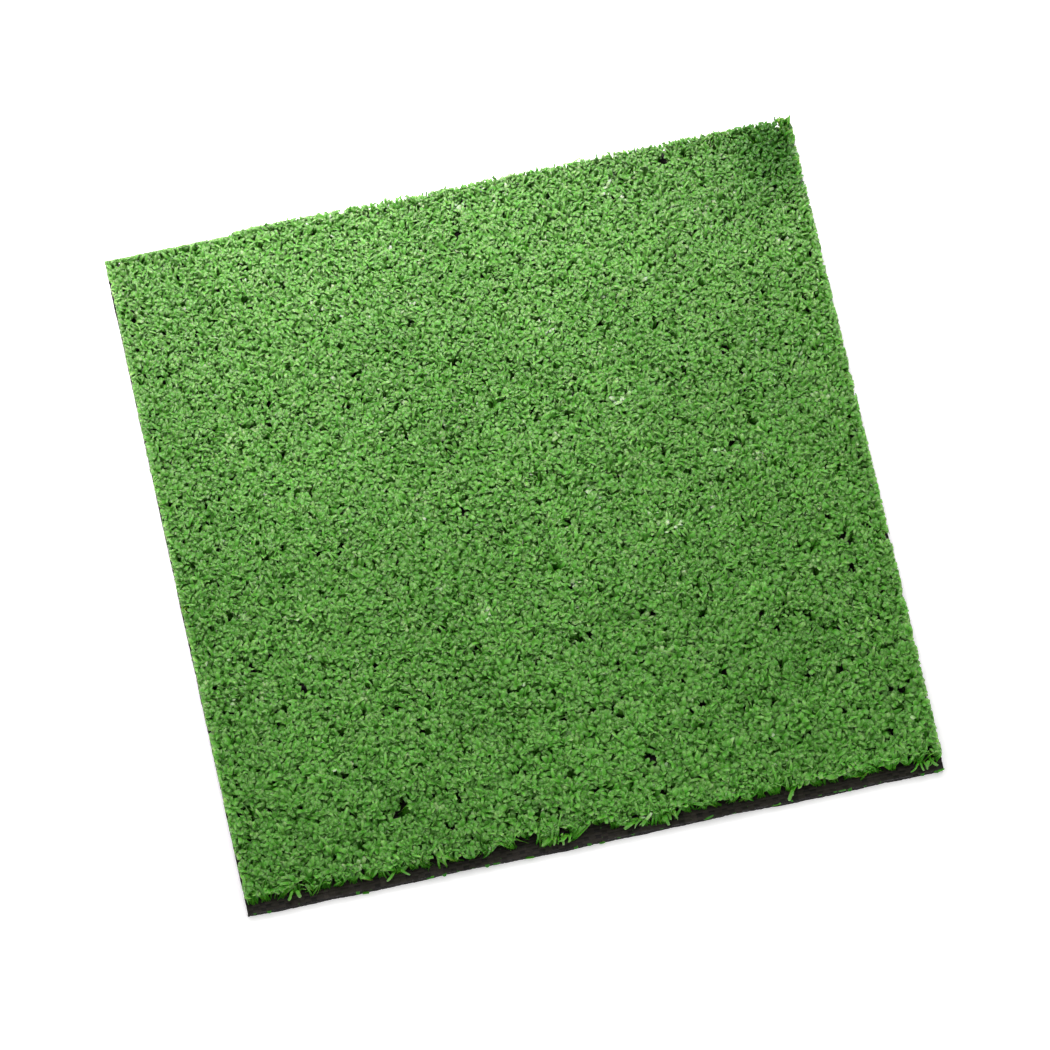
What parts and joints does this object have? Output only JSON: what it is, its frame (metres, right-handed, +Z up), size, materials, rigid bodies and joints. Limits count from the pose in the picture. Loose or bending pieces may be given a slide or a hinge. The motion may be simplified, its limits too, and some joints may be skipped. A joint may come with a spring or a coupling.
{
  "type": "golf hitting mat",
  "caption": "Square golf hitting mat: short dense tufted green turf on a woven, latex-coated backing bonded to a thin black rubber pad.",
  "frame": {"origin": "middle of the underside of the rubber pad", "axes": "+Z up out of the pile, +X to the right across the tuft rows, +Y away from the golfer along the tuft rows"},
  "size_m": [0.305, 0.305, 0.014],
  "materials": {
    "pad_rubber": "matt black foamed rubber, cut edges slightly torn",
    "adhesive": "dull dark cured adhesive",
    "latex": "matt black filled latex, lumpy",
    "backing_tape": "slightly shiny dark woven plastic tape with a purple-brown cast",
    "turf_yarn": "satin green ribbon yarn, curled, paler at the cut tips"
  },
  "bodies": {
    "root": {"base_pad": "pad_rubber", "bond_film": "adhesive", "latex_backing": "latex", "weft_tapes": "backing_tape", "warp_tapes": "backing_tape", "tuft_row_01": "turf_yarn", "tuft_row_02": "turf_yarn", "tuft_row_03": "turf_yarn", "tuft_row_04": "turf_yarn", "tuft_row_05": "turf_yarn", "tuft_row_06": "turf_yarn", "tuft_row_07": "turf_yarn", "tuft_row_08": "turf_yarn", "tuft_row_09": "turf_yarn", "tuft_row_10": "turf_yarn", "tuft_row_11": "turf_yarn", "tuft_row_12": "turf_yarn", "tuft_row_13": "turf_yarn", "tuft_row_14": "turf_yarn", "tuft_row_15": "turf_yarn", "tuft_row_16": "turf_yarn", "tuft_row_17": "turf_yarn", "tuft_row_18": "turf_yarn", "tuft_row_19": "turf_yarn", "tuft_row_20": "turf_yarn", "tuft_row_21": "turf_yarn", "tuft_row_22": "turf_yarn", "tuft_row_23": "turf_yarn", "tuft_row_24": "turf_yarn", "tuft_row_25": "turf_yarn", "tuft_row_26": "turf_yarn", "tuft_row_27": "turf_yarn", "tuft_row_28": "turf_yarn", "tuft_row_29": "turf_yarn", "tuft_row_30": "turf_yarn", "tuft_row_31": "turf_yarn", "tuft_row_32": "turf_yarn", "tuft_row_33": "turf_yarn", "tuft_row_34": "turf_yarn", "tuft_row_35": "turf_yarn", "tuft_row_36": "turf_yarn", "tuft_row_37": "turf_yarn", "tuft_row_38": "turf_yarn", "tuft_row_39": "turf_yarn", "tuft_row_40": "turf_yarn", "tuft_row_41": "turf_yarn", "tuft_row_42": "turf_yarn", "tuft_row_43": "turf_yarn", "tuft_row_44": "turf_yarn", "tuft_row_45": "turf_yarn", "tuft_row_46": "turf_yarn", "tuft_row_47": "turf_yarn", "tuft_row_48": "turf_yarn"}
  },
  "joints": []
}
